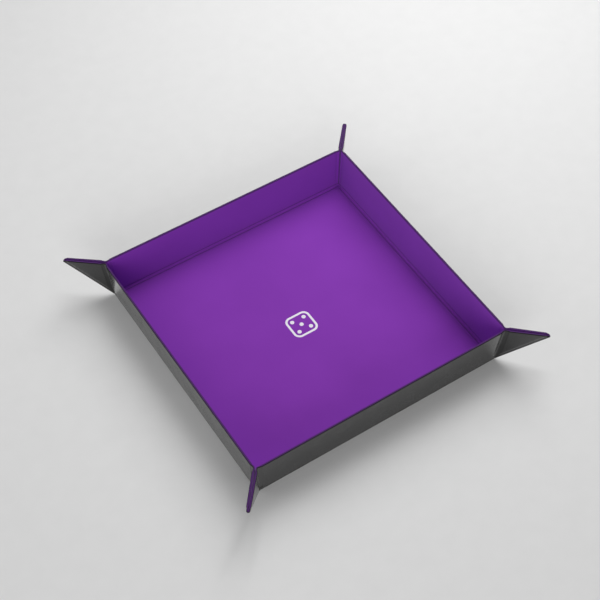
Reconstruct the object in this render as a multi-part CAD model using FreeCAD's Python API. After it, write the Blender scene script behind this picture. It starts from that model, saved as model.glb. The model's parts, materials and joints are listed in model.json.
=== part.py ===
"""Folding dice tray: stiff board panels between a leather-look cover and a microfibre lining.

The four walls fold up about the floor's edges. Each corner square is folded along its diagonal into a
flat triangular ear, held shut by two disc magnets. The fold between a wall and an ear slants a little
towards the ear, because the walls lean outwards. The shut ears swing a few degrees off the diagonals,
all the same way round. The model stands as it is used, with the ears shut.
Frame: +Z up, origin at the centre of the underside, walls square to X and Y, the front wall at -Y.

Every panel is laid out flat first, beside the back wall, with its lining face in the plane z = 0 and its
cover face below. It is then folded into place. Depths are measured from the lining face to the cover.
"""

import FreeCAD
import Part
import math
import os

# Driving sizes, in millimetres and degrees.
FLOOR_SIDE = 240.0
WALL_HEIGHT = 42.0
WALL_LEAN = 5.0
END_FOLD_SLANT = 4.2
EAR_SWING = 4.5
LINING_THICK = 0.6
BOARD_THICK = 1.0
COVER_THICK = 0.4
CREASE_HALF = 2.4
END_CREASE_HALF = 4.0
CREASE_DIP = 0.5
SEAM_WIDTH = 1.2
TIP_RADIUS = 4.0
STRIP_GAP = 0.05
BEND_STEPS = 4
MAGNET_DIAMETER = 10.0
MAGNET_CLEARANCE = 0.05
PRINT_SIDE = 24.0
PRINT_LINE = 2.0
PRINT_CORNER = 6.0
PRINT_PIP = 3.8
PRINT_THICK = 0.08

# Sizes that follow from them.
HALF = FLOOR_SIDE / 2
TOP = HALF + WALL_HEIGHT
PANEL_THICK = LINING_THICK + BOARD_THICK + COVER_THICK
CREASE_BACK = CREASE_DIP + LINING_THICK + COVER_THICK
PIP_PITCH = PRINT_SIDE / 4

WALL_TURNS = {"back": 0, "left": 90, "front": 180, "right": 270}
WALL_ENDS = {
    "back": ("right", "left"),
    "left": ("back", "front"),
    "front": ("left", "right"),
    "right": ("front", "back"),
}

X, Y, Z = FreeCAD.Vector(1, 0, 0), FreeCAD.Vector(0, 1, 0), FreeCAD.Vector(0, 0, 1)
ORIGIN = FreeCAD.Vector(0, 0, 0)


def ear_angle(wall, slant):
    """How far an ear half turns from its wall's plane so that the two halves' lower edges meet.

    The far corner of the flat square then lies on the plane midway between the two walls. It is the
    angle at which that corner's distances from the two walls' fold lines are equal. All in radians.
    """
    along = math.cos(slant) + math.sin(slant)
    across = math.cos(slant) - math.sin(slant)
    level = 1 - math.sin(slant) * along - math.cos(wall) * (1 - math.cos(slant) * along)
    raised = across * math.sin(wall)
    offset = along * (math.cos(wall) * math.cos(slant) - math.sin(slant))
    return math.acos(offset / math.hypot(level, raised)) - math.atan2(raised, level)


WALL_ANGLE = math.radians(90 - WALL_LEAN)
SLANT = math.radians(END_FOLD_SLANT)
EAR_ANGLE = ear_angle(WALL_ANGLE, SLANT)
NEAR_ANGLE = EAR_ANGLE + math.radians(EAR_SWING)
FAR_ANGLE = EAR_ANGLE - math.radians(EAR_SWING)

# The folds that take a place on the flat sheet to its place on the standing wall or the shut ear.
FLOOR_CORNER = FreeCAD.Vector(HALF, HALF, 0)
END_FOLD_LINE = FreeCAD.Vector(math.sin(SLANT), math.cos(SLANT), 0)
STAND = FreeCAD.Placement(ORIGIN, FreeCAD.Rotation(X, math.degrees(WALL_ANGLE)), Y * HALF)


def shut(angle):
    """The fold of the ear half at the back wall's +X end, for its turn from the wall's plane."""
    turn = FreeCAD.Placement(ORIGIN, FreeCAD.Rotation(END_FOLD_LINE, math.degrees(angle)), FLOOR_CORNER)
    return STAND.multiply(turn)


def placed(shape, placement):
    copy = shape.copy()
    copy.Placement = placement.multiply(copy.Placement)
    return copy


def mirrored(shape):
    """The same piece at the wall's other end."""
    return shape.mirror(ORIGIN, X)


def outline(points):
    """A face bounded by straight runs through (x, y) points."""
    corners = [FreeCAD.Vector(x, y, 0) for x, y in points]
    return Part.Face(Part.makePolygon(corners + corners[:1]))


def plate(face, depth, thick):
    """The solid that starts at a depth below a flat outline."""
    top = face.copy()
    top.translate(Z * -depth)
    return top.extrude(Z * -thick)


def end_fold_x(y):
    """Where the fold between the back wall and its +X ear half lies on the flat sheet."""
    return HALF + (y - HALF) * math.tan(SLANT)


def floor_outline():
    side = HALF - CREASE_HALF
    return outline([(-side, -side), (side, -side), (side, side), (-side, side)])


def wall_outline():
    foot = HALF + CREASE_HALF
    low, high = [end_fold_x(y) - END_CREASE_HALF for y in (foot, TOP)]
    return outline([(-low, foot), (low, foot), (high, TOP), (-high, TOP)])


def ear_outline():
    """The half of the corner square beyond the diagonal, short of its folds, with a round tip."""
    off_diagonal = CREASE_HALF * math.sqrt(2)
    root = HALF + (END_CREASE_HALF + off_diagonal) / (1 - math.tan(SLANT))
    past_top = TOP + off_diagonal
    half = outline(
        [
            (root - off_diagonal, root),
            (TOP, past_top),
            (end_fold_x(past_top) + END_CREASE_HALF, past_top),
        ]
    )
    bend = TOP - TIP_RADIUS
    start, middle, end = [
        FreeCAD.Vector(bend + TIP_RADIUS * math.cos(a), bend + TIP_RADIUS * math.sin(a), 0)
        for a in (0, math.pi / 4, math.pi / 2)
    ]
    corners = [end, FreeCAD.Vector(0, TOP, 0), ORIGIN, FreeCAD.Vector(TOP, 0, 0), start]
    round_corner = Part.Arc(start, middle, end).toShape()
    square = Part.Face(Part.Wire([round_corner] + Part.makePolygon(corners).Edges))
    return half.common(square).Faces[0]


def panel(face):
    """The lining, board and cover of one panel. The cover rises round the board to meet the lining."""
    board = plate(face.makeOffset2D(-SEAM_WIDTH, join=2), LINING_THICK, BOARD_THICK)
    envelope = plate(face, LINING_THICK, BOARD_THICK + COVER_THICK)
    return {"lining": plate(face, 0, LINING_THICK), "board": board, "cover": envelope.cut(board)}


def magnet_disc(radius):
    """A disc as thick as the board, as far from the ear half's rim as from its fold and its lower edge."""
    root = end_fold_x(TOP) + END_CREASE_HALF
    rim_length = TOP - CREASE_HALF * math.sqrt(2) - root
    reach = rim_length * (1 - math.sqrt(0.5))
    underside = LINING_THICK + BOARD_THICK
    return Part.makeCylinder(radius, BOARD_THICK, FreeCAD.Vector(root + reach, TOP - reach, -underside))


def ear_half():
    """One ear half at the back wall's +X end, laid flat: its panel, with a magnet let into the board."""
    pieces = panel(ear_outline())
    radius = MAGNET_DIAMETER / 2
    pieces["board"] = pieces["board"].cut(magnet_disc(radius + MAGNET_CLEARANCE))
    pieces["magnet"] = magnet_disc(radius)
    return pieces


def bent_strip(inner_ends, outer_ends):
    """A solid of flat facets between two bent lines at each of its ends.

    Each of the four lines is a list of points, across the fold from one panel to the other.
    """
    first, last = [inner + outer[::-1] for inner, outer in zip(inner_ends, outer_ends)]
    count = len(first)
    triangles = []
    for i in range(count):
        j = (i + 1) % count
        triangles += [(first[i], first[j], last[j]), (first[i], last[j], last[i])]
    for loop in (first, last):
        for i in range(count // 2 - 1):
            j = count - 1 - i
            triangles += [(loop[i], loop[i + 1], loop[j - 1]), (loop[i], loop[j - 1], loop[j])]
    faces = [Part.Face(Part.makePolygon([a, b, c, a])) for a, b, c in triangles]
    solid = Part.Solid(Part.makeShell(faces))
    if solid.Volume < 0:
        solid.reverse()
    return solid


def strip_through(line, ends):
    """The bonded lining and cover along one fold; line(end, depth) gives the points across it."""
    inner = [line(end, CREASE_DIP) for end in ends]
    outer = [line(end, CREASE_BACK) for end in ends]
    return bent_strip(inner, outer)


def base_fold():
    """The strip at the foot of the back wall, bent up round the fold line."""

    def line(x, depth):
        floor_end = FreeCAD.Vector(x, HALF - CREASE_HALF + STRIP_GAP, -depth)
        wall_end = STAND.multVec(FreeCAD.Vector(x, HALF + CREASE_HALF, -depth))
        angles = [WALL_ANGLE * step / BEND_STEPS for step in range(BEND_STEPS + 1)]
        bend = [FreeCAD.Vector(x, HALF + depth * math.sin(a), -depth * math.cos(a)) for a in angles]
        return [floor_end] + bend + [wall_end]

    end = HALF - CREASE_HALF
    return strip_through(line, (-end, end))


def end_fold(ear_turn):
    """The strip between the back wall's +X end and the ear half there, mitred on the cover side."""
    slack = math.tan(ear_turn / 2)
    ear_place = shut(ear_turn)

    def line(y, depth):
        fold = FreeCAD.Vector(end_fold_x(y), y, -depth)
        wall_end = STAND.multVec(fold - X * END_CREASE_HALF)
        mitre = STAND.multVec(fold - X * depth * slack)
        ear_end = ear_place.multVec(fold + X * (END_CREASE_HALF - STRIP_GAP))
        return [wall_end, mitre, ear_end]

    return strip_through(line, (HALF + 2 * END_CREASE_HALF, TOP))


def half_directions(ear_turn):
    """Along a shut ear half's lower edge, inwards from it, and out through its cover."""
    turned = shut(ear_turn).Rotation
    along = turned.multVec(FreeCAD.Vector(1, 1, 0).normalize())
    inward = turned.multVec(FreeCAD.Vector(-1, 1, 0).normalize())
    return along, inward, turned.multVec(-Z)


def lower_fold():
    """The strip round the lower edge of a shut ear, from one half to the other."""
    along, inward, outward = half_directions(NEAR_ANGLE)
    far = [FreeCAD.Vector(v.y, v.x, v.z) for v in half_directions(FAR_ANGLE)]
    far_along, far_inward, far_outward = far
    turn_axis = outward.cross(far_outward)
    turn = math.degrees(outward.getAngle(far_outward))

    def line(reach, depth):
        foot = FLOOR_CORNER + along * reach
        near_end = foot + inward * CREASE_HALF + outward * depth
        far_foot = FLOOR_CORNER + far_along * reach
        far_end = far_foot + far_inward * (CREASE_HALF - STRIP_GAP) + far_outward * depth
        steps = 2 * BEND_STEPS
        turns = [FreeCAD.Rotation(turn_axis, turn * step / steps) for step in range(steps + 1)]
        return [near_end] + [foot + turned.multVec(outward * depth) for turned in turns] + [far_end]

    return strip_through(line, (3 * CREASE_HALF, (WALL_HEIGHT - TIP_RADIUS) * math.sqrt(2)))


def rounded_square(side, radius):
    block = Part.makeBox(side, side, PRINT_THICK, FreeCAD.Vector(-side / 2, -side / 2, 0))
    upright = [edge for edge in block.Edges if edge.BoundBox.ZLength > PRINT_THICK / 2]
    return block.makeFillet(radius, upright)


def centre_print():
    """The ink mark on the floor: the face of a die, as a round-cornered frame and five pips."""
    window = rounded_square(PRINT_SIDE - 2 * PRINT_LINE, PRINT_CORNER - PRINT_LINE)
    frame = rounded_square(PRINT_SIDE, PRINT_CORNER).cut(window)
    signs = [(0, 0), (1, 1), (-1, 1), (-1, -1), (1, -1)]
    centres = [FreeCAD.Vector(i * PIP_PITCH, j * PIP_PITCH, 0) for i, j in signs]
    pips = [Part.makeCylinder(PRINT_PIP / 2, PRINT_THICK, centre) for centre in centres]
    return Part.makeCompound(frame.Solids + pips)


def save(name, shape, turn=0):
    """Write a piece, turned about the tray's middle and lifted so that the underside is at z = 0."""
    lift = FreeCAD.Placement(Z * PANEL_THICK, FreeCAD.Rotation(Z, turn))
    finished = placed(shape, lift)
    if not finished.isValid() or finished.Volume <= 0:
        raise ValueError(name + " is not a sound solid")
    finished.exportStep("parts/" + name + ".step")


def build():
    os.makedirs("parts", exist_ok=True)
    for layer, shape in panel(floor_outline()).items():
        save("floor_" + layer, shape)
    save("centre_print", centre_print())

    wall = {layer: placed(shape, STAND) for layer, shape in panel(wall_outline()).items()}
    wall["base_fold"] = base_fold()
    wall["end_folds"] = Part.makeCompound([end_fold(NEAR_ANGLE), mirrored(end_fold(FAR_ANGLE))])
    flat_ear = ear_half()
    near_ear = {layer: placed(shape, shut(NEAR_ANGLE)) for layer, shape in flat_ear.items()}
    far_ear = {layer: mirrored(placed(shape, shut(FAR_ANGLE))) for layer, shape in flat_ear.items()}
    lower_edge = lower_fold()

    for name, turn in WALL_TURNS.items():
        for piece, shape in wall.items():
            save("wall_" + name + "_" + piece, shape, turn)
        near, far = ["ear_" + name + "_" + end + "_" for end in WALL_ENDS[name]]
        for piece in flat_ear:
            save(near + piece, near_ear[piece], turn)
            save(far + piece, far_ear[piece], turn)
        save(near + "lower_fold", lower_edge, turn)


build()
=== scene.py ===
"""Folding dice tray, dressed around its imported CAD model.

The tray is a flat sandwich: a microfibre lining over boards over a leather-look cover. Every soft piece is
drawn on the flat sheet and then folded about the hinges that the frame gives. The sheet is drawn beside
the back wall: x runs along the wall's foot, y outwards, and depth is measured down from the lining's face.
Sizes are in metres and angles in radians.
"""

import json
import logging
import math
from abc import ABC, abstractmethod
from collections.abc import Mapping, Sequence
from dataclasses import dataclass
from enum import Enum

import bmesh
import bpy
import numpy as np
from mathutils import Matrix, Vector

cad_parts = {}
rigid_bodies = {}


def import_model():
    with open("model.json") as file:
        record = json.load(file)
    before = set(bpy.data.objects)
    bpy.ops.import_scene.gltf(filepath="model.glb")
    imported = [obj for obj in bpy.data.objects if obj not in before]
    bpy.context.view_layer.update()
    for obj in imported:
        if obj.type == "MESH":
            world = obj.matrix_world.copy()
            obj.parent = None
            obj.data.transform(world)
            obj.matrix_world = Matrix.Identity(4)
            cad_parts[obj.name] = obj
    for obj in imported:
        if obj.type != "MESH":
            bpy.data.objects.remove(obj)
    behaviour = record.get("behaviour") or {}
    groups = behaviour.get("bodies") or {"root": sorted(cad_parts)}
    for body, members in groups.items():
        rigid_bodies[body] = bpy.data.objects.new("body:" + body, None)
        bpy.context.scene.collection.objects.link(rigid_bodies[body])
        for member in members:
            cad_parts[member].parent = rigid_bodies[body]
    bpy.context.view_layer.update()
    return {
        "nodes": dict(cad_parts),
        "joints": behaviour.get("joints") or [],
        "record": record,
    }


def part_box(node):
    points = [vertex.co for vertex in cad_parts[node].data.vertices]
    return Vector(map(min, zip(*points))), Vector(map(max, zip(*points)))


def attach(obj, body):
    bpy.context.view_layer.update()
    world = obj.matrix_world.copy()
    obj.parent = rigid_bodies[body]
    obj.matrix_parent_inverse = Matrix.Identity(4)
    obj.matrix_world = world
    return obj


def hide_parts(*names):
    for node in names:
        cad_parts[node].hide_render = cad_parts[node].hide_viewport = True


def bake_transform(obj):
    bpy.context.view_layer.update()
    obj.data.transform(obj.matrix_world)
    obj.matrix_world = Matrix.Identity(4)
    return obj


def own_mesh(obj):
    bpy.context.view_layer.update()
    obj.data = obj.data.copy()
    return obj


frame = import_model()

MM = 0.001
FLOOR_BODY = "floor_panel"
SHEET_UV = "sheet"
# Point attribute: 1 where a skin is drawn darker, at its rims, and as painted shade in the lining's grooves
# and where the ears open.
RIM_DARK_AND_CREASE_SHADE = "edge_wear"
MERGE_DISTANCE = 0.0005 * MM
SHARP_ANGLE = 0.85
RATIOS = {each["joint"]: each["ratio"] for each in frame["record"]["behaviour"]["couplings"]}
LEAD_JOINT = next(joint for joint in frame["joints"] if joint["name"] not in RATIOS)
LOG = logging.getLogger("dice_tray")

Triple = tuple[float, float, float]
Pair = tuple[float, float]


def smooth_step(low: float, high: float, value: np.ndarray) -> np.ndarray:
    """Rise smoothly from 0 at low to 1 at high."""
    t = np.clip((value - low) / (high - low), 0.0, 1.0)
    return t * t * (3.0 - 2.0 * t)


def mix(first: np.ndarray | float, second: np.ndarray | float, share: np.ndarray) -> np.ndarray:
    """Go from first to second as share goes from 0 to 1."""
    return first + (second - first) * share


class Slot(Enum):
    """The record's material slots."""

    LINING = "lining"
    COVER = "cover"
    BOARD = "board"
    MAGNET = "magnet"
    PRINT = "floor_print"


# ---------------------------------------------------------------- materials


class Value:
    """A number that varies over a surface, with Python's arithmetic on its socket."""

    def __init__(self, graph: "Graph", socket: bpy.types.NodeSocket) -> None:
        """Wrap a socket of a graph."""
        self.graph = graph
        self.socket = socket

    def _math(self, operation: str, first: "Value | float", second: "Value | float") -> "Value":
        """Add one Math node for an operation on two operands."""
        return self.graph.value("ShaderNodeMath", {"operation": operation}, {0: first, 1: second})

    def __add__(self, other: "Value | float") -> "Value":
        """Return self + other."""
        return self._math("ADD", self, other)

    __radd__ = __add__

    def __mul__(self, other: "Value | float") -> "Value":
        """Return self * other."""
        return self._math("MULTIPLY", self, other)

    __rmul__ = __mul__

    def __sub__(self, other: "Value | float") -> "Value":
        """Return self - other."""
        return self._math("SUBTRACT", self, other)

    def __rsub__(self, other: "Value | float") -> "Value":
        """Return other - self."""
        return self._math("SUBTRACT", other, self)

    def ramp(self, low: float, high: float) -> "Value":
        """Rise from 0 at low to 1 at high, clamped."""
        return self.graph.value("ShaderNodeMapRange", {"clamp": True}, {0: self, 1: low, 2: high})


class Graph:
    """The node tree of one material, with its Principled surface."""

    def __init__(self, name: str, **constants: float | Triple) -> None:
        """Start a material.

        Args:
            name: the material's name.
            constants: what is the same all over the surface, by the Principled socket's name with
                underscores for spaces.
        """
        self.material = bpy.data.materials.new(name)
        self.material.use_nodes = True
        self.tree = self.material.node_tree
        self.tree.nodes.clear()
        plain = {key.replace("_", " "): self._as_colour(value) for key, value in constants.items()}
        self.surface = self.node("ShaderNodeBsdfPrincipled", {}, plain)
        self.node("ShaderNodeOutputMaterial", {}, {"Surface": self.surface.outputs[0]})

    @staticmethod
    def _as_colour(value: float | Triple) -> float | tuple[float, ...]:
        """Give a colour the alpha that a colour socket wants."""
        return (*value, 1.0) if isinstance(value, tuple) else value

    def node(self, kind: str, settings: Mapping, inputs: Mapping) -> bpy.types.Node:
        """Add a node.

        Args:
            kind: the node's type.
            settings: its properties, set before its sockets; "stops" are a ramp's (place, colour) pairs.
            inputs: socket names or numbers, with a Value, a socket or a plain value for each.

        Returns:
            The new node.
        """
        node = self.tree.nodes.new(kind)
        for key, value in settings.items():
            if key == "stops":
                for element, (place, colour) in zip(node.color_ramp.elements, value):
                    element.position = place
                    element.color = self._as_colour(colour)
            else:
                setattr(node, key, value)
        for key, value in inputs.items():
            source = value.socket if isinstance(value, Value) else value
            if isinstance(source, bpy.types.NodeSocket):
                self.tree.links.new(source, node.inputs[key])
            else:
                node.inputs[key].default_value = source
        return node

    def value(self, kind: str, settings: Mapping, inputs: Mapping, output: int = 0) -> Value:
        """Add a node and wrap one of its outputs."""
        return Value(self, self.node(kind, settings, inputs).outputs[output])

    def colour(self, first: Triple, second: Triple, share: Value) -> Value:
        """Blend two colours by a share."""
        ends = [(0.0, first), (1.0, second)]
        return self.value("ShaderNodeValToRGB", {"stops": ends}, {"Fac": share})

    def towards(self, first: Value, second: Triple, share: Value) -> Value:
        """Mix a varying colour towards a plain one by a share."""
        inputs = {"Factor": share, 6: first, 7: self._as_colour(second)}
        return self.value("ShaderNodeMix", {"data_type": "RGBA"}, inputs, 2)

    def noise(self, place: Value, scale: float, detail: float, rough: float = 0.5, output: int = 0) -> Value:
        """Sample fractal noise, centred on 0.5, at a scale in cells per metre."""
        inputs = {"Vector": place, "Scale": scale, "Detail": detail, "Roughness": rough}
        return self.value("ShaderNodeTexNoise", {}, inputs, output)

    def stretch(self, place: Value, factors: Triple, turn: float = 0.0) -> Value:
        """Scale a place by a factor along each axis, after a turn about Z."""
        inputs = {"Vector": place, "Scale": factors, "Rotation": (0.0, 0.0, turn)}
        return self.value("ShaderNodeMapping", {}, inputs)

    def swirl(self, place: Value, scale: float, reach: float) -> Value:
        """Push a place about by noise.

        Args:
            place: the place.
            scale: the noise's scale, in cells per metre.
            reach: how far it pushes.

        Returns:
            The moved place.
        """
        push = {0: self.noise(place, scale, 2.0, output=1), "Scale": reach}
        moved = {0: place, 1: self.value("ShaderNodeVectorMath", {"operation": "SCALE"}, push)}
        return self.value("ShaderNodeVectorMath", {"operation": "ADD"}, moved)

    def pile(self, place: Value) -> Value:
        """Sample the lining's fibres, which all lie one way."""
        cells, brush_angle = (700.0, 2600.0, 1.0), 0.5
        return self.noise(self.stretch(place, cells, brush_angle), 1.0, 3.0, 0.6)

    def object_place(self) -> Value:
        """Give the place in the piece, in metres."""
        return self.value("ShaderNodeTexCoord", {}, {}, 3)

    def sheet_place(self, side: float) -> Value:
        """Give the place on the flat sheet of a given side, in metres."""
        place = self.value("ShaderNodeUVMap", {"uv_map": SHEET_UV}, {})
        return self.stretch(place, (side, side, side))

    def dark_rim_and_crease_shade(self) -> Value:
        """Read the mesh's darkening: darker rims, and painted shade in the lining's grooves and where the
        ears open.
        """
        return self.value("ShaderNodeAttribute", {"attribute_name": RIM_DARK_AND_CREASE_SHADE}, {}, 2)

    def finish(self, height: Value, strength: float, distance: float, **varying: Value) -> bpy.types.Material:
        """Connect what varies over the surface.

        Args:
            height: the relief's height, from 0 to 1.
            strength: the share of the relief that shows.
            distance: the relief's depth.
            varying: Values by the Principled socket's name, with underscores for spaces.

        Returns:
            The material.
        """
        bump_inputs = {"Height": height, "Strength": strength, "Distance": distance}
        bump = self.value("ShaderNodeBump", {}, bump_inputs)
        for key, value in {"Normal": bump, **varying}.items():
            self.tree.links.new(value.socket, self.surface.inputs[key.replace("_", " ")])
        return self.material


@dataclass(frozen=True)
class Microfibre:
    """Short-pile microfibre: soft, matt, and brushed a little lighter or darker from place to place."""

    side: float
    light: Triple = (0.250, 0.040, 0.455)
    dark: Triple = (0.178, 0.024, 0.340)
    darkest: Triple = (0.019, 0.005, 0.039)
    sheen_tint: Triple = (0.80, 0.62, 1.0)
    sheen: float = 0.22
    nap_scale: float = 16.0
    speck_scale: float = 3200.0
    relief: float = 0.12 * MM

    def material(self) -> bpy.types.Material:
        """Build the lining's material.

        Returns:
            The new material.
        """
        constants = {"Sheen_Roughness": 0.45, "Specular_IOR_Level": 0.25}
        graph = Graph("purple_microfibre", Sheen_Weight=self.sheen, Sheen_Tint=self.sheen_tint, **constants)
        place = graph.sheet_place(self.side)
        nap = graph.noise(place, self.nap_scale, 2.0).ramp(0.30, 0.70)
        fibres = graph.pile(place)
        specks = graph.noise(place, self.speck_scale, 2.0, 0.7)
        shade = nap * 0.26 + fibres * 0.42 + specks * 0.34
        dark_rim_and_crease_shade = graph.dark_rim_and_crease_shade()
        # The darkest colour darkens the rims, and paints shade into the grooves and where the ears open
        # beside the walls.
        colour = graph.towards(graph.colour(self.dark, self.light, shade), self.darkest, dark_rim_and_crease_shade * 0.88)
        roughness = 0.98 - fibres * 0.16 - dark_rim_and_crease_shade * 0.12
        height = fibres * 0.6 + specks * 0.4
        return graph.finish(height, 0.5, self.relief, Base_Color=colour, Roughness=roughness)


@dataclass(frozen=True)
class Leatherette:
    """Coated leather-look cloth: fine pebbles with creases between them, and a satin polish."""

    side: float
    top: Triple = (0.0135, 0.0131, 0.0135)
    crease: Triple = (0.005, 0.005, 0.005)
    darkest: Triple = (0.006, 0.005, 0.007)
    pebble_scale: float = 1150.0
    pebble_softness: float = 0.35
    swirl_scale: float = 900.0
    swirl_reach: float = 0.5 * MM
    sheet_scale: float = 55.0
    pore_scale: float = 5200.0
    relief: float = 0.07 * MM

    def material(self) -> bpy.types.Material:
        """Build the cover's material.

        Returns:
            The new material.
        """
        graph = Graph("black_leatherette", Coat_Roughness=0.12, Coat_IOR=1.6, Specular_IOR_Level=0.12)
        place = graph.sheet_place(self.side)
        wavy = graph.swirl(place, self.swirl_scale, self.swirl_reach)
        cells = {"Vector": wavy, "Scale": self.pebble_scale, "Smoothness": self.pebble_softness}
        pebbles = graph.value("ShaderNodeTexVoronoi", {"feature": "SMOOTH_F1"}, cells)
        dome = 1.0 - pebbles.ramp(0.12, 0.75)
        broad = graph.noise(place, self.sheet_scale, 3.0)
        pores = graph.noise(place, self.pore_scale, 2.0)
        shade = dome * 0.7 + broad * 0.3
        dark_rim_and_crease_shade = graph.dark_rim_and_crease_shade()
        colour = graph.towards(graph.colour(self.crease, self.top, shade), self.darkest, dark_rim_and_crease_shade * 0.9)
        roughness = 0.27 + (1.0 - dome) * 0.12 + broad * 0.07 + dark_rim_and_crease_shade * 0.45
        coat = (0.85 + broad.ramp(0.35, 0.75) * 0.15) * (1.0 - dark_rim_and_crease_shade)
        varying = {"Base_Color": colour, "Roughness": roughness, "Coat_Weight": coat}
        return graph.finish(dome * 0.8 + pores * 0.2, 0.30, self.relief, **varying)


@dataclass(frozen=True)
class GreyBoard:
    """Pressed board of recycled pulp, flecked with fibres."""

    pale: Triple = (0.40, 0.37, 0.33)
    dark: Triple = (0.24, 0.22, 0.19)
    pulp_scale: float = 420.0
    fleck_cells: Triple = (1500.0, 300.0, 1500.0)
    fleck_turn: float = 0.7
    relief: float = 0.05 * MM

    def material(self) -> bpy.types.Material:
        """Build the boards' material.

        Returns:
            The new material.
        """
        graph = Graph("grey_board")
        place = graph.object_place()
        pulp = graph.noise(place, self.pulp_scale, 6.0, 0.65)
        flecks = graph.noise(graph.stretch(place, self.fleck_cells, self.fleck_turn), 1.0, 3.0)
        mottled = graph.colour(self.dark, self.pale, pulp.ramp(0.3, 0.7))
        colour = graph.towards(mottled, self.dark, flecks.ramp(0.62, 0.72) * 0.6)
        return graph.finish(pulp, 0.4, self.relief, Base_Color=colour, Roughness=0.82 + pulp * 0.14)


@dataclass(frozen=True)
class NickelPlate:
    """Bright nickel over sintered magnets, with a faint haze."""

    bright: Triple = (0.66, 0.65, 0.62)
    hazed: Triple = (0.50, 0.49, 0.47)
    haze_scale: float = 900.0
    relief: float = 0.01 * MM

    def material(self) -> bpy.types.Material:
        """Build the magnets' material.

        Returns:
            The new material.
        """
        graph = Graph("nickel_plate", Metallic=1.0)
        haze = graph.noise(graph.object_place(), self.haze_scale, 4.0)
        colour = graph.colour(self.bright, self.hazed, haze.ramp(0.4, 0.7))
        return graph.finish(haze, 0.1, self.relief, Base_Color=colour, Roughness=0.16 + haze * 0.2)


@dataclass(frozen=True)
class MattInk:
    """Screen-printed ink that lies thin on the pile, so that the cloth shows through it in flecks."""

    ink: Triple = (0.80, 0.78, 0.84)
    cloth: Triple = (0.42, 0.30, 0.56)
    speck_scale: float = 3000.0
    relief: float = 0.06 * MM

    def material(self) -> bpy.types.Material:
        """Build the floor mark's material.

        Returns:
            The new material.
        """
        graph = Graph("matt_ink", Specular_IOR_Level=0.3)
        place = graph.object_place()
        specks = graph.noise(place, self.speck_scale, 2.0, 0.7)
        gaps = (graph.pile(place) * 0.5 + specks * 0.5).ramp(0.56, 0.70)
        colour = graph.colour(self.ink, self.cloth, gaps * 0.7)
        return graph.finish(1.0 - gaps, 0.5, self.relief, Base_Color=colour, Roughness=0.70 + gaps * 0.25)


@dataclass(frozen=True)
class PaperSweep:
    """The pale paper that the tray stands on."""

    pale: Triple = (0.74, 0.74, 0.74)
    shade: Triple = (0.70, 0.70, 0.70)
    grain_scale: float = 60.0
    relief: float = 0.05 * MM

    def material(self) -> bpy.types.Material:
        """Build the stage's material.

        Returns:
            The new material.
        """
        graph = Graph("paper_sweep", Roughness=0.9)
        grain = graph.noise(graph.object_place(), self.grain_scale, 4.0)
        colour = graph.colour(self.pale, self.shade, grain)
        return graph.finish(grain, 0.05, self.relief, Base_Color=colour)


# ---------------------------------------------------------------- the flat sheet and its folds


@dataclass(frozen=True)
class Hinge:
    """One fold's hinge. Its travel runs from the tray in use to the tray laid flat."""

    parent: str
    pivot: np.ndarray
    axis: np.ndarray
    travel: float

    def fold_up(self, points: np.ndarray, share: np.ndarray | float = 1.0) -> np.ndarray:
        """Turn points back from flat to their place in use.

        Args:
            points: places in the tray's frame, the last axis x, y and z.
            share: how much of the turn each point makes, from 0 to 1.

        Returns:
            The places after the turn.
        """
        angle = -self.travel * np.broadcast_to(share, points.shape[:-1])[..., None]
        arm = points - self.pivot
        along = (arm @ self.axis)[..., None] * self.axis
        turned = arm * np.cos(angle) + np.cross(self.axis, arm) * np.sin(angle)
        return self.pivot + turned + along * (1.0 - np.cos(angle))


def hinges_by_child() -> dict[str, Hinge]:
    """Read the hinges from the frame.

    Returns:
        Each hinge, under the name of the body that it turns.
    """
    travel = math.radians(LEAD_JOINT["range_deg"][1])
    hinges = {}
    for joint in frame["joints"]:
        pivot, axis = np.array(joint["pos_m"]), np.array(joint["axis"])
        own_travel = travel * RATIOS.get(joint["name"], 1.0)
        hinges[joint["child"]] = Hinge(joint["parent"], pivot, axis, own_travel)
    return hinges


@dataclass(frozen=True)
class DarkRimAndCreaseShade:
    """How much darker the skins are drawn, from 0 to 1: darker rims, and painted shade in the lining's
    grooves and where the ears open.
    """

    rim_band: Pair = (0.3 * MM, 1.4 * MM)
    turned_share: float = 0.88
    turned_band: Pair = (0.15, 0.5)
    groove_shade_share: float = 0.85
    mouth_shade_share: float = 0.65
    mouth_opens: Pair = (-1.5 * MM, 1.0 * MM)
    mouth_closes: Pair = (2.5 * MM, 4.5 * MM)
    mouth_foot: Pair = (0.0, 1.0 * MM)

    def rim(self, inset: np.ndarray, drop: np.ndarray) -> np.ndarray:
        """Give the darkening at an inset from the rim and a drop towards its seam."""
        turned = mix(1.0, self.turned_share, smooth_step(*self.turned_band, drop))
        return (1.0 - smooth_step(*self.rim_band, inset)) * turned

    def mouth_shade(self, beyond: np.ndarray, above: np.ndarray) -> np.ndarray:
        """Give the painted shade beyond the fold at a wall's end and above its foot, where the ear opens."""
        entry = smooth_step(*self.mouth_opens, beyond) * (1.0 - smooth_step(*self.mouth_closes, beyond))
        return self.mouth_shade_share * entry * smooth_step(*self.mouth_foot, above)


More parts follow.
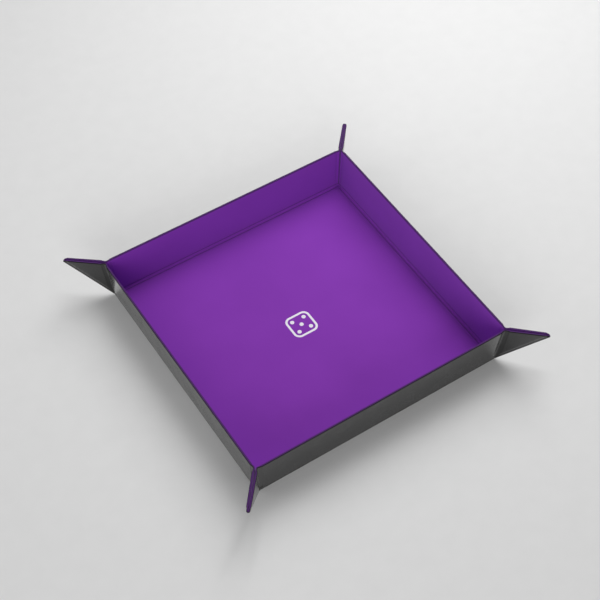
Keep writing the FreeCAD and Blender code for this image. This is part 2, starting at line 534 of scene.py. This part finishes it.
@dataclass(frozen=True)
class SheetPlan:
    """The flat sheet's sizes, and how deep its two faces lie at each place on it.

    Its methods take x from the middle outwards, so they serve both ends of a wall. grooves holds the depth
    and half width of the lining's grooves beside the folds at the foot, at the wall's end and along the ear.
    """

    half: float
    height: float
    thick: float
    slant: float
    lining_thick: float
    board_thick: float
    crease_half: float
    end_crease_half: float
    tip_radius: float = 4.0 * MM
    board_edge: float = 0.5 * MM
    grooves: tuple[Pair, ...] = ((0.50 * MM, 0.34 * MM), (0.10 * MM, 0.90 * MM), (0.30 * MM, 0.50 * MM))
    cover_dip: float = 0.4 * MM
    seam_depth: float = 1.6 * MM
    bond_depth: float = 1.1 * MM
    margin: float = 1.0 * MM
    dark_rim_and_crease_shade: DarkRimAndCreaseShade = DarkRimAndCreaseShade()

    @classmethod
    def from_frame(cls, hinges: Mapping[str, Hinge]) -> "SheetPlan":
        """Read the plan's sizes from the CAD model.

        Args:
            hinges: every hinge, by the body that it turns.

        Returns:
            The plan.
        """
        floor_low, floor_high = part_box("floor_lining")
        thick = floor_high.z
        foot = hinges["wall_back"]
        wall_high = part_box("wall_back_lining")[1]
        half = float(foot.pivot[1])
        height = (wall_high.z - thick) / math.sin(foot.travel)
        slant = math.asin(abs(float(hinges["ear_back_right"].axis @ foot.axis)))
        return cls(
            half=half,
            height=height,
            thick=thick,
            slant=slant,
            lining_thick=thick - floor_low.z,
            board_thick=floor_low.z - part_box("floor_board")[0].z,
            crease_half=half - floor_high.x,
            end_crease_half=half + height * math.tan(slant) - wall_high.x,
        )

    @property
    def top(self) -> float:
        """Give the distance from the tray's middle to the sheet's edge."""
        return self.half + self.height

    @property
    def side(self) -> float:
        """Give the sheet's width before it is folded."""
        return 2.0 * self.top

    @property
    def foot_margin(self) -> float:
        """Give how far the floor's and walls' skins stop or start from the fold between them."""
        return self.crease_half + self.margin

    @property
    def end_margin(self) -> float:
        """Give how far the walls' skins stop from the folds at their ends."""
        return self.end_crease_half + self.margin

    def lay(self, x: np.ndarray, y: np.ndarray, depth: np.ndarray, turn: float, mirror: float) -> np.ndarray:
        """Put sheet places into the tray's frame, still flat.

        Args:
            x: their places along the wall's foot.
            y: their distances from the tray's middle.
            depth: their depths below the lining's face.
            turn: the angle from the back wall round to this one.
            mirror: 1, or -1 for a stretch that is drawn mirrored.

        Returns:
            The places, the last axis x, y and z.
        """
        across = x * mirror
        cosine, sine = math.cos(turn), math.sin(turn)
        return np.stack([across * cosine - y * sine, across * sine + y * cosine, self.thick - depth], axis=-1)

    def on_map(self, flat: np.ndarray) -> np.ndarray:
        """Give the map coordinates of flat places, from 0 to 1 across the sheet."""
        return flat.reshape(-1, 3)[:, :2] / self.side + 0.5

    def end_fold_x(self, y: np.ndarray | float) -> np.ndarray:
        """Give the place of the fold between the wall and its ear, at a distance y from the middle."""
        return self.half + np.maximum(np.asarray(y) - self.half, 0.0) * math.tan(self.slant)

    def _fold_distances(self, x: np.ndarray, y: np.ndarray) -> tuple[tuple[np.ndarray, float], ...]:
        """Measure from a place on the sheet to the folds.

        Args:
            x: its distance along the wall.
            y: its distance from the tray's middle.

        Returns:
            For the fold at the foot, at the wall's end and along the ear, the distance and the half crease.
        """
        diagonal = np.where(x > self.half, (y - x) / math.sqrt(2.0), self.height)
        return (
            (y - self.half, self.crease_half),
            (x - self.end_fold_x(y), self.end_crease_half),
            (diagonal, self.crease_half),
        )

    def crease(self, x: np.ndarray, y: np.ndarray) -> np.ndarray:
        """Tell how far a place on the sheet is bonded crease rather than board.

        Args:
            x: its distance along the wall.
            y: its distance from the tray's middle.

        Returns:
            The share of crease, from 0 to 1.
        """
        share = np.zeros_like(x)
        for distance, crease_half in self._fold_distances(x, y):
            low, high = crease_half - self.board_edge, crease_half + self.board_edge
            share = np.maximum(share, 1.0 - smooth_step(low, high, np.abs(distance)))
        return share

    def groove(self, x: np.ndarray, y: np.ndarray) -> np.ndarray:
        """Shape the lining's grooves, which run along the boards' edges beside a fold.

        Args:
            x: a place's distance along the wall.
            y: its distance from the tray's middle.

        Returns:
            The grooves' depth there.
        """
        depth = np.zeros_like(x)
        for (distance, crease_half), (deep, half_width) in zip(self._fold_distances(x, y), self.grooves):
            off_edge = (np.abs(distance) - crease_half + self.board_edge) / half_width
            depth = np.maximum(depth, deep * np.exp(-off_edge * off_edge))
        return depth


class Layer(Enum):
    """The two skins of the sandwich."""

    LINING = "lining"
    COVER = "cover"

    @property
    def slot(self) -> Slot:
        """Give the slot of the skin's finish."""
        return Slot(self.value)

    @property
    def inward(self) -> float:
        """Give the sign of a change of depth that goes towards the board."""
        return 1.0 if self is Layer.LINING else -1.0


@dataclass(frozen=True)
class LayerDepths:
    """The depths of a skin's face, back and seam, each over the board and over the crease."""

    face: Pair
    back: Pair
    seam: Pair

    @classmethod
    def of(cls, layer: Layer, plan: SheetPlan) -> "LayerDepths":
        """Read one skin's depths from the plan.

        Args:
            layer: the skin.
            plan: the sheet's plan.

        Returns:
            The depths.
        """
        seam = (plan.seam_depth, plan.bond_depth)
        if layer is Layer.LINING:
            return cls((0.0, 0.0), (plan.lining_thick, plan.bond_depth), seam)
        board_back = plan.lining_thick + plan.board_thick
        return cls((plan.thick, plan.thick - plan.cover_dip), (board_back, plan.bond_depth), seam)


@dataclass(frozen=True)
class RimRow:
    """One line along a panel's free edge: how far in from the edge it runs, and its share of the way down."""

    inset: float
    drop: float


# A panel's evenly spaced rows stop at this inset, and the rounded rim goes on from there.
PANEL_INSET = 1.6 * MM
ROUNDED_RIM = (
    RimRow(1.30 * MM, 0.0),
    RimRow(1.00 * MM, 0.012),
    RimRow(0.72 * MM, 0.05),
    RimRow(0.48 * MM, 0.12),
    RimRow(0.28 * MM, 0.21),
    RimRow(0.13 * MM, 0.33),
    RimRow(0.04 * MM, 0.47),
    RimRow(0.0, 0.62),
    RimRow(0.0, 0.93),
    RimRow(0.12 * MM, 1.0),
)


@dataclass(frozen=True)
class SkinGrid:
    """Matching rows of points on the flat sheet for a skin's face and its back.

    drop is the share of the way from the face down to the seam, inset the distance from the sheet's edge,
    and tuck how far both skins draw in towards the board.
    """

    x: np.ndarray
    y: np.ndarray
    drop: np.ndarray
    inset: np.ndarray
    back_x: np.ndarray
    back_y: np.ndarray
    tuck: np.ndarray | float = 0.0

    def cut(self) -> Triple:
        """Measure the flat cut.

        Returns:
            Its width, length and area.
        """
        across = (self.x[1:, 1:] - self.x[:-1, :-1], self.x[1:, :-1] - self.x[:-1, 1:])
        up = (self.y[1:, 1:] - self.y[:-1, :-1], self.y[1:, :-1] - self.y[:-1, 1:])
        area = float(np.abs(across[0] * up[1] - across[1] * up[0]).sum()) / 2.0
        return float(np.ptp(self.x)), float(np.ptp(self.y)), area

    def faces(self) -> list[tuple[int, ...]]:
        """List the quads of the face, the back and the edges between them.

        Returns:
            The quads, with the back's points numbered on from the face's.
        """
        count = self.x.size
        numbers = np.arange(count).reshape(self.x.shape)
        corners = (numbers[:-1, :-1], numbers[:-1, 1:], numbers[1:, 1:], numbers[1:, :-1])
        faces = []
        for quad in zip(*(corner.ravel().tolist() for corner in corners)):
            faces += [quad, tuple(count + corner for corner in reversed(quad))]
        sides = (numbers[0], numbers[1:, -1], numbers[-1, -2::-1], numbers[-2:0:-1, 0])
        border = np.concatenate(sides).tolist()
        for first, second in zip(border, border[1:] + border[:1]):
            faces.append((second, first, count + first, count + second))
        return faces


def closed_object(
    name: str,
    places: np.ndarray,
    faces: Sequence[tuple[int, ...]],
    on_map: np.ndarray,
    dark_rims_and_shade: np.ndarray,
) -> bpy.types.Object:
    """Make a closed, smooth object from points and faces.

    Args:
        name: the object's name.
        places: the points, of which those that coincide are merged.
        faces: the points' numbers round each face.
        on_map: each point's map coordinates on the sheet.
        dark_rims_and_shade: each point's darkening: darker rims, and painted shade in the lining's creases.

    Returns:
        The new object.
    """
    mesh = bpy.data.meshes.new(name)
    mesh.from_pydata(places.tolist(), [], faces)
    corners = np.empty(len(mesh.loops), dtype=np.int32)
    mesh.loops.foreach_get("vertex_index", corners)
    sheet = mesh.uv_layers.new(name=SHEET_UV)
    sheet.data.foreach_set("uv", on_map[corners].astype(np.float32).ravel())
    dark_rim_and_crease_shade = mesh.attributes.new(RIM_DARK_AND_CREASE_SHADE, "FLOAT", "POINT")
    dark_rim_and_crease_shade.data.foreach_set("value", dark_rims_and_shade.astype(np.float32))
    work = bmesh.new()
    work.from_mesh(mesh)
    bmesh.ops.remove_doubles(work, verts=work.verts, dist=MERGE_DISTANCE)
    bmesh.ops.dissolve_degenerate(work, edges=work.edges, dist=MERGE_DISTANCE)
    work.to_mesh(mesh)
    work.free()
    mesh.polygons.foreach_set("use_smooth", [True] * len(mesh.polygons))
    mesh.set_sharp_from_angle(angle=SHARP_ANGLE)
    mesh.update()
    piece = bpy.data.objects.new(name, mesh)
    bpy.context.scene.collection.objects.link(piece)
    return piece


# ---------------------------------------------------------------- the tray's sub-assemblies


@dataclass
class TrayPart:
    """Any sub-assembly of the tray: the plan that it follows and the finishes that it can have."""

    plan: SheetPlan
    finishes: Mapping[Slot, bpy.types.Material]

    def dress(self, piece: bpy.types.Object, slot: Slot, *nodes: str) -> None:
        """Give a piece its finish, and let it stand for CAD nodes.

        Args:
            piece: the piece.
            slot: the record's slot that the finish belongs to.
            nodes: the CAD nodes that it replaces.
        """
        material = self.finishes[slot]
        piece.data.materials.clear()
        piece.data.materials.append(material)
        if nodes:
            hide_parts(*nodes)
        LOG.info("%s: %d faces, %s", piece.name, len(piece.data.polygons), material.name)


@dataclass
class BoardedPart(TrayPart, ABC):
    """A board between two skins that share one grid. stem starts the names of its skins and CAD nodes."""

    stem: str

    @property
    def turn(self) -> float:
        """Give the turn from the back wall's place to this part's."""
        return 0.0

    @property
    def mirror(self) -> float:
        """Give 1 where the sheet is drawn as it lies, and -1 where it is mirrored."""
        return 1.0

    @property
    def fold_nodes(self) -> tuple[str, ...]:
        """Name the CAD nodes of the folds that the cover's skin takes in."""
        return ()

    @abstractmethod
    def grid(self) -> SkinGrid:
        """Lay the skins' points on the flat sheet."""

    @abstractmethod
    def fold(self, flat: np.ndarray, x: np.ndarray, y: np.ndarray) -> np.ndarray:
        """Take flat places, with their sheet x and y, to their places in use."""

    @abstractmethod
    def attach(self, piece: bpy.types.Object) -> None:
        """Put a skin in its place: the floor's rides on the floor's body, and a wall's or an ear's is baked
        where it stands.
        """

    def lay(self, x: np.ndarray, y: np.ndarray, depth: np.ndarray) -> np.ndarray:
        """Put sheet places into the tray's frame, still flat."""
        return self.plan.lay(x, y, depth, self.turn, self.mirror)

    def _skin(self, name: str, layer: Layer, grid: SkinGrid) -> bpy.types.Object:
        """Make a closed skin between its face and its back.

        Args:
            name: the piece's name.
            layer: which of the two skins it is.
            grid: its points on the flat sheet.

        Returns:
            The new object.
        """
        plan = self.plan
        depths = LayerDepths.of(layer, plan)
        tuck = grid.tuck * layer.inward
        across = np.abs(grid.x)
        crease = plan.crease(across, grid.y)
        face = mix(*depths.face, crease) + tuck
        dark_rims_and_shade = plan.dark_rim_and_crease_shade.rim(grid.inset, grid.drop)
        if layer is Layer.LINING:
            groove = plan.groove(across, grid.y)
            face = face + groove
            # Painted shade along the lining's grooves, darkest where they are deepest.
            dark_rims_and_shade = np.maximum(dark_rims_and_shade, groove / plan.grooves[0][0] * plan.dark_rim_and_crease_shade.groove_shade_share)
            # Painted shade where the ear opens beside the wall's end.
            mouth_shade = plan.dark_rim_and_crease_shade.mouth_shade(across - plan.end_fold_x(grid.y), grid.y - plan.half)
            dark_rims_and_shade = np.maximum(dark_rims_and_shade, mouth_shade)
        depth = mix(face, mix(*depths.seam, crease), grid.drop)
        back_depth = mix(*depths.back, plan.crease(np.abs(grid.back_x), grid.back_y)) + tuck
        back = self.lay(grid.back_x, grid.back_y, back_depth)
        fronts = self.fold(self.lay(grid.x, grid.y, depth), grid.x, grid.y)
        backs = self.fold(back, grid.back_x, grid.back_y)
        places = np.concatenate([fronts.reshape(-1, 3), backs.reshape(-1, 3)])
        unrolled = self.lay(grid.x, grid.y + np.abs(depth - face), depth)
        on_map = np.concatenate([plan.on_map(unrolled), plan.on_map(back)])
        faces = grid.faces()
        if layer.inward != self.mirror:
            faces = [corners[::-1] for corners in faces]
        return closed_object(name, places, faces, on_map, np.tile(dark_rims_and_shade.ravel(), 2))

    def build(self) -> None:
        """Make the lining's and the cover's skin, each bonded taut to the board."""
        grid = self.grid()
        width, length, area = grid.cut()
        for layer in Layer:
            name = f"{self.stem}_{layer.value}"
            piece = self._skin(f"{name}_skin", layer, grid)
            self.attach(piece)
            taken_in = self.fold_nodes if layer is Layer.COVER else ()
            self.dress(piece, layer.slot, name, *taken_in)


@dataclass
class FloorPanel(BoardedPart):
    """The square floor, whose skins reach to where the walls' creases begin."""

    stem: str = "floor"
    cells: int = 56

    def grid(self) -> SkinGrid:
        """Lay a square grid.

        Returns:
            The grid.
        """
        reach = self.plan.half - self.plan.foot_margin
        line = np.linspace(-reach, reach, self.cells + 1)
        x, y = np.meshgrid(line, line)
        still = np.zeros_like(x)
        return SkinGrid(x, y, still, still + self.plan.half, x, y)

    def fold(self, flat: np.ndarray, x: np.ndarray, y: np.ndarray) -> np.ndarray:
        """Leave the floor flat."""
        return flat

    def attach(self, piece: bpy.types.Object) -> None:
        """Let a skin ride on the floor."""
        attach(piece, FLOOR_BODY)


@dataclass
class Wall(BoardedPart):
    """One wall: skins that bend up from the floor's edge and reach the folds at both ends."""

    hinge: Hinge
    columns: int = 60
    panel_rows: int = 12
    foot_step: float = 0.22 * MM
    bend_half: float = 1.9 * MM
    tuck: float = 0.06 * MM
    tuck_run: float = 0.4 * MM
    end_gap: float = 0.06 * MM
    foot_full: float = 2.5 * MM
    foot_gone: float = 5.0 * MM

    @property
    def turn(self) -> float:
        """Give the turn from the back wall's place to this one's."""
        return math.atan2(-self.hinge.pivot[0], self.hinge.pivot[1])

    @property
    def fold_nodes(self) -> tuple[str, ...]:
        """Name the fold at the wall's foot."""
        return (f"{self.stem}_base_fold",)

    def _end(self, y: np.ndarray) -> np.ndarray:
        """Give how far the skins reach along the wall, at a distance y from the tray's middle."""
        foot = 1.0 - smooth_step(self.foot_full, self.foot_gone, y - self.plan.half)
        return self.plan.end_fold_x(y) - self.plan.end_margin * (1.0 - foot) - self.end_gap

    def grid(self) -> SkinGrid:
        """Lay rows from inside the fold at the foot up to the rim.

        Returns:
            The grid.
        """
        plan = self.plan
        margin = plan.foot_margin
        crease = np.linspace(-margin, margin, round(2 * margin / self.foot_step) + 1)
        panel = np.linspace(margin, plan.height - PANEL_INSET, self.panel_rows)[1:]
        rows = [(plan.half + up, 0.0, plan.height - up) for up in (*crease, *panel)]
        rows += [(plan.top - rim.inset, rim.drop, rim.inset) for rim in ROUNDED_RIM]
        share = np.linspace(-1.0, 1.0, self.columns + 1)
        y, drop, inset = [np.repeat(np.array(row)[:, None], share.size, 1) for row in zip(*rows)]
        back_y = np.minimum(y, plan.top - ROUNDED_RIM[0].inset)
        x = self._end(y) * share
        beyond = np.abs(x) - plan.end_fold_x(y) + plan.end_margin
        tuck = self.tuck * smooth_step(0.0, self.tuck_run, beyond)
        return SkinGrid(x, y, drop, inset, self._end(back_y) * share, back_y, tuck)

    def fold(self, flat: np.ndarray, x: np.ndarray, y: np.ndarray) -> np.ndarray:
        """Bend flat places up from the floor about the fold at the wall's foot."""
        share = smooth_step(-self.bend_half, self.bend_half, y - self.plan.half)
        return self.hinge.fold_up(flat, share)

    def attach(self, piece: bpy.types.Object) -> None:
        """Bake a skin's place into its mesh; it is not blended across the fold at the wall's foot.

        Args:
            piece: the skin.
        """
        y = self.plan.half + self.bend_half * np.array([-1.0, 1.0])
        flat = self.lay(np.zeros(2), y, np.full(2, self.plan.bond_depth))
        start, finish = self.hinge.fold_up(flat, np.array([0.0, 1.0]))
        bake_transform(piece)


@dataclass
class EarHalf(BoardedPart):
    """Half of a corner square, from the wall's end to the fold along the ear's lower edge."""

    hinge: Hinge
    wall: Wall
    bend_half: float = 3.5 * MM
    fine_step: float = 0.4 * MM
    middle_columns: int = 12
    lower_fine: float = 4.0 * MM
    lower_gap: float = 0.04 * MM
    foot_band: float = 4.0 * MM
    foot_rows: int = 11
    panel_rows: int = 16
    edge_band: float = 5.0 * MM
    edge_rows: int = 8

    @property
    def turn(self) -> float:
        """Give the wall's turn."""
        return self.wall.turn

    @property
    def mirror(self) -> float:
        """Give 1 at the wall's +X end, seen as the back wall, and -1 at its other end."""
        across = self.hinge.pivot[0] * math.cos(self.turn) + self.hinge.pivot[1] * math.sin(self.turn)
        return math.copysign(1.0, across)

    @property
    def fold_nodes(self) -> tuple[str, ...]:
        """Name the folds at the wall's ends."""
        return (f"{self.wall.stem}_end_folds",)

    def _row(self, inset: float) -> tuple[np.ndarray, np.ndarray]:
        """Lay points along one line that runs a given inset from the rim, round the tip to the diagonal.

        Args:
            inset: the line's distance from the sheet's edge.

        Returns:
            The points' x and y on the sheet.
        """
        plan = self.plan
        y = plan.top - inset
        start = float(plan.end_fold_x(y)) - plan.end_margin
        radius = max(plan.tip_radius - inset, 0.0)
        straight = plan.top - max(inset, plan.tip_radius) - start
        length = straight + radius * math.pi / 4.0 - self.lower_gap
        fine = np.arange(0.0, 2.0 * plan.end_margin + self.fine_step / 2, self.fine_step)
        last = np.arange(self.lower_fine, -self.fine_step / 2, -self.fine_step)
        squeeze = min(1.0, length / (fine[-1] + last[0] + self.fine_step))
        fine, last = fine * squeeze, length - last * squeeze
        middle = np.linspace(fine[-1], last[0], self.middle_columns + 2)[1:-1]
        way = np.concatenate([fine, middle, last])
        if radius == 0.0:
            return start + way, np.full_like(way, y)
        angle = math.pi / 2.0 - np.maximum(way - straight, 0.0) / radius
        bent = way > straight
        x = np.where(bent, start + straight + radius * np.cos(angle), start + way)
        return x, np.where(bent, y - radius + radius * np.sin(angle), y)

    def grid(self) -> SkinGrid:
        """Lay rows from the corner of the floor out to the rim.

        Returns:
            The grid.
        """
        height = self.plan.height
        foot = np.linspace(height, height - self.foot_band, self.foot_rows)
        panel = np.linspace(foot[-1], self.edge_band, self.panel_rows)[1:]
        edge = np.linspace(self.edge_band, PANEL_INSET, self.edge_rows)[1:]
        rows = [*(RimRow(float(inset), 0.0) for inset in (*foot, *panel, *edge)), *ROUNDED_RIM]
        x, y = [np.array(axis) for axis in zip(*(self._row(row.inset) for row in rows))]
        backs = (self._row(max(row.inset, ROUNDED_RIM[0].inset)) for row in rows)
        back_x, back_y = [np.array(axis) for axis in zip(*backs)]
        drop = np.array([row.drop for row in rows])[:, None] + np.zeros_like(x)
        inset = np.array([row.inset for row in rows])[:, None] + np.zeros_like(x)
        return SkinGrid(x, y, drop, inset, back_x, back_y)

    def fold(self, flat: np.ndarray, x: np.ndarray, y: np.ndarray) -> np.ndarray:
        """Stand flat places up with the wall, then bend them about the fold at its end."""
        share = smooth_step(-self.bend_half, self.bend_half, x - self.plan.end_fold_x(y))
        return self.hinge.fold_up(self.wall.hinge.fold_up(flat), share)

    def attach(self, piece: bpy.types.Object) -> None:
        """Bake a skin's place into its mesh; it is not blended across the fold at the wall's end.

        Args:
            piece: the skin.
        """
        plan = self.plan
        across = self.bend_half * np.array([-1.0, 1.0])
        y = plan.half + plan.height / 2.0
        x = plan.end_fold_x(y) + across * math.cos(plan.slant)
        flat = self.lay(x, y - across * math.sin(plan.slant), np.full(2, plan.bond_depth))
        start, finish = self.hinge.fold_up(self.wall.hinge.fold_up(flat), np.array([0.0, 1.0]))
        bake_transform(piece)

    def shut(self, x: float, y: float, depth: float) -> Vector:
        """Give the place in use of a point that is wholly on the ear half."""
        flat = self.lay(np.array([x]), np.array([y]), np.array([depth]))
        return Vector(self.hinge.fold_up(self.wall.hinge.fold_up(flat))[0])


@dataclass
class LowerFold(TrayPart):
    """The rounded fold along the lower edge of an ear, from one half round to the other."""

    near: EarHalf
    far: EarHalf
    steps: int = 12
    stations: tuple[float, ...] = (0.0, 0.25, 0.5, 0.75)
    tip_rings: tuple[Pair, ...] = ((0.35 * MM, 1.0), (0.12 * MM, 0.95), (0.0, 0.82), (0.0, 0.0))
    dark_tip: float = 1.5 * MM
    lining_proud: float = 0.04 * MM
    keep: float = 0.05

    def build(self) -> None:
        """Make the fold's cover and the lining inside it."""
        plan = self.plan
        outer = plan.thick - plan.cover_dip
        corner = self.near.shut(plan.half, plan.half, 0.0)
        reach = plan.top - plan.tip_radius * (1.0 - math.sqrt(0.5))
        line = self.near.shut(reach, reach, 0.0) - corner
        out = [(ear.shut(plan.half, plan.half, outer) - corner).normalized() for ear in (self.near, self.far)]
        for layer in reversed(Layer):
            name = f"{self.near.stem}_lower_fold"
            radius, length, nodes = outer, line.length, [name]
            if layer is Layer.LINING:
                radius, length, nodes = plan.bond_depth, line.length + self.lining_proud, []
            name = f"{name}_{layer.value}"
            piece = self._half_round(name, corner, line.normalized(), out, radius, length)
            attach(piece, self.near.stem)
            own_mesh(piece)
            self.dress(piece, layer.slot, *nodes)

    def _half_round(
        self,
        name: str,
        corner: Vector,
        along: Vector,
        out: Sequence[Vector],
        radius: float,
        length: float,
    ) -> bpy.types.Object:
        """Make a rod of half-round section with a softened end.

        Args:
            name: the piece's name.
            corner: where the fold starts, at the floor's corner.
            along: the fold's direction.
            out: the outward normals of the two ear halves.
            radius: the section's radius.
            length: the fold's length.

        Returns:
            The new object.
        """
        sweep = out[0].angle(out[1])
        spin = out[0].cross(out[1]).normalized()
        rings = [(length * share, 1.0) for share in self.stations]
        rings += [(length - short, size) for short, size in self.tip_rings]
        turns = [sweep * step / self.steps for step in range(self.steps + 1)]
        arms = [Matrix.Rotation(turn, 3, spin) @ out[0] for turn in turns]
        places = [corner + along * place + arm * radius * size for place, size in rings for arm in arms]
        columns = len(arms)
        faces = []
        for row in range(0, (len(rings) - 1) * columns, columns):
            for first in range(row, row + self.steps):
                faces.append((first, first + columns, first + columns + 1, first + 1))
            last = row + self.steps
            faces.append((last, last + columns, row + columns, row))
        faces.append(tuple(range(columns)))
        way = np.array([[place] for place, _ in rings])
        around = (np.arange(columns) / self.steps - 0.5) * sweep * radius
        start = self.plan.half + way / math.sqrt(2.0)
        flat = self.near.lay(start + around, start - around, np.zeros((len(rings), columns)))
        # Darker towards the fold's tip, where it meets the rim.
        dark_rims_and_shade = np.repeat(smooth_step(length - self.dark_tip, length, way), columns)
        return closed_object(name, np.array(places), faces, self.plan.on_map(flat), dark_rims_and_shade)


@dataclass
class CornerPocket(TrayPart):
    """The gathered point where the floor, two walls and an ear meet: cover outside, lining inside."""

    near: EarHalf
    stem: str
    rings: int = 8
    segments: int = 20
    lining_lift: float = 0.3 * MM
    keep: float = 0.1

    def build(self) -> None:
        """Make both domes."""
        plan = self.plan
        corner = Vector(self.near.hinge.pivot)
        outward = Vector((math.copysign(1.0, corner.x), math.copysign(1.0, corner.y), -1.0)).normalized()
        for layer in reversed(Layer):
            centre, radius = corner, plan.thick - plan.cover_dip
            if layer is Layer.LINING:
                centre, radius = corner - outward * self.lining_lift, plan.bond_depth
            piece = self._dome(f"{self.stem}_{layer.value}_pocket", centre, outward, radius)
            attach(piece, FLOOR_BODY)
            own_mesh(piece)
            self.dress(piece, layer.slot)

    def _dome(self, name: str, centre: Vector, outward: Vector, radius: float) -> bpy.types.Object:
        """Make a closed dome about a direction.

        Args:
            name: the piece's name.
            centre: the middle of its flat side.
            outward: the way it bulges.
            radius: its radius.

        Returns:
            The new object.
        """
        side = outward.orthogonal().normalized()
        count = self.segments
        arms = [Matrix.Rotation(math.tau * segment / count, 3, outward) @ side for segment in range(count)]
        places = [centre + outward * radius]
        for ring in range(1, self.rings + 1):
            angle = math.pi / 2.0 * ring / self.rings
            places += [centre + (outward * math.cos(angle) + arm * math.sin(angle)) * radius for arm in arms]
        faces: list[tuple[int, ...]] = []
        for segment in range(count):
            after = (segment + 1) % count
            faces.append((0, 1 + segment, 1 + after))
            for low in range(1, 1 + (self.rings - 1) * count, count):
                faces.append((low + segment, low + count + segment, low + count + after, low + after))
        base = 1 + (self.rings - 1) * count
        faces.append(tuple(base + segment for segment in reversed(range(count))))
        points = np.array(places)
        return closed_object(name, points, faces, self.plan.on_map(points), np.zeros(len(points)))


@dataclass
class BoardsAndMark(TrayPart):
    """What stays as the CAD model has it: the boards, the magnets and the floor's printed mark."""

    endings: tuple[tuple[str, Slot], ...] = (
        ("_board", Slot.BOARD),
        ("_magnet", Slot.MAGNET),
        ("_print", Slot.PRINT),
    )

    def build(self) -> None:
        """Give each carried-over CAD node its finish."""
        for name, node in frame["nodes"].items():
            for ending, slot in self.endings:
                if name.endswith(ending):
                    node.data.materials.clear()
                    node.data.materials.append(self.finishes[slot])
                    LOG.info("%s: CAD node in %s", name, self.finishes[slot].name)


@dataclass(frozen=True)
class SoftBox:
    """A square studio lamp that points at the tray."""

    name: str
    place: Triple
    size: float
    power: float
    aim: Triple = (0.0, 0.0, 0.02)

    def build(self) -> None:
        """Hang the lamp."""
        light = bpy.data.lights.new(self.name, "AREA")
        light.shape = "SQUARE"
        light.size = self.size
        light.energy = self.power
        lamp = bpy.data.objects.new(self.name, light)
        lamp.location = self.place
        beam = Vector(self.aim) - Vector(self.place)
        lamp.rotation_euler = beam.to_track_quat("-Z", "Y").to_euler()
        bpy.context.scene.collection.objects.link(lamp)


@dataclass
class Studio:
    """Pale floor, soft light and the camera."""

    camera_place: Triple = (-0.4011, -0.6168, 0.9881)
    azimuth: float = math.radians(32.93)
    descent: float = math.radians(52.28)
    roll: float = math.radians(-0.10)
    lens: float = 83.87
    sensor: float = 36.0
    sight: float = 20.0
    floor_drop: float = 0.2 * MM
    floor_half: float = 6.0
    ambient: float = 0.18
    lamps: tuple[SoftBox, ...] = (
        SoftBox("key_softbox", (0.60, 0.50, 0.70), 0.5, 4.2),
        SoftBox("side_softbox", (-1.3, 0.3, 0.4), 0.8, 3.6),
        SoftBox("front_softbox", (-0.95, -1.62, 0.68), 1.35, 22.5),
        SoftBox("top_softbox", (0.35, 0.30, 1.1), 0.6, 6.0),
    )

    def build(self) -> None:
        """Set the stage, the lamps, the world and the camera."""
        self._floor()
        for lamp in self.lamps:
            lamp.build()
        self._world()
        self._camera()
        bpy.context.scene.view_settings.view_transform = "Standard"

    def _floor(self) -> None:
        """Lay the paper."""
        half = self.floor_half
        mesh = bpy.data.meshes.new("paper_floor")
        corners = [(-half, -half), (half, -half), (half, half), (-half, half)]
        mesh.from_pydata([(x, y, -self.floor_drop) for x, y in corners], [], [(0, 1, 2, 3)])
        mesh.materials.append(PaperSweep().material())
        floor = bpy.data.objects.new("paper_floor", mesh)
        bpy.context.scene.collection.objects.link(floor)

    def _world(self) -> None:
        """Fill the room with even light."""
        world = bpy.data.worlds.new("studio")
        world.use_nodes = True
        background = world.node_tree.nodes["Background"]
        background.inputs["Color"].default_value = (1.0, 1.0, 1.0, 1.0)
        background.inputs["Strength"].default_value = self.ambient
        bpy.context.scene.world = world

    def _camera(self) -> None:
        """Place the camera."""
        data = bpy.data.cameras.new("camera")
        data.lens = self.lens
        data.sensor_width = self.sensor
        data.clip_end = self.sight
        camera = bpy.data.objects.new("camera", data)
        turn = Matrix.Rotation(-self.azimuth, 4, "Z")
        tilt = Matrix.Rotation(math.pi / 2.0 - self.descent, 4, "X")
        lean = Matrix.Rotation(self.roll, 4, "Z")
        camera.matrix_world = Matrix.Translation(self.camera_place) @ turn @ tilt @ lean
        bpy.context.scene.collection.objects.link(camera)
        bpy.context.scene.camera = camera


@dataclass
class DiceTray:
    """The whole tray: a floor, four walls, eight ear halves, and the folds between them."""

    hinges: Mapping[str, Hinge]
    plan: SheetPlan
    finishes: Mapping[Slot, bpy.types.Material]

    @classmethod
    def from_frame(cls) -> "DiceTray":
        """Read the hinges and the plan from the frame, and make the finishes.

        Returns:
            The tray, not yet built.
        """
        hinges = hinges_by_child()
        plan = SheetPlan.from_frame(hinges)
        finishes = {
            Slot.LINING: Microfibre(plan.side).material(),
            Slot.COVER: Leatherette(plan.side).material(),
            Slot.BOARD: GreyBoard().material(),
            Slot.MAGNET: NickelPlate().material(),
            Slot.PRINT: MattInk().material(),
        }
        return cls(hinges, plan, finishes)

    def build(self) -> None:
        """Make every piece."""
        shared = (self.plan, self.finishes)
        FloorPanel(*shared).build()
        walls = {}
        ears = {}
        for body, hinge in self.hinges.items():
            if hinge.parent == FLOOR_BODY:
                walls[body] = Wall(*shared, body, hinge)
                walls[body].build()
        for body, hinge in self.hinges.items():
            if hinge.parent in walls:
                ears[body] = EarHalf(*shared, body, hinge, walls[hinge.parent])
                ears[body].build()
        for body, ear in ears.items():
            if ear.mirror > 0.0:
                _, wall, end = body.split("_")
                LowerFold(*shared, ear, ears[f"ear_{end}_{wall}"]).build()
                CornerPocket(*shared, ear, f"corner_{wall}_{end}").build()
        BoardsAndMark(*shared).build()


def main() -> None:
    """Build the tray and its studio."""
    logging.basicConfig(level=logging.INFO, format="%(name)s: %(message)s")
    DiceTray.from_frame().build()
    Studio().build()


if __name__ == "__main__":
    main()
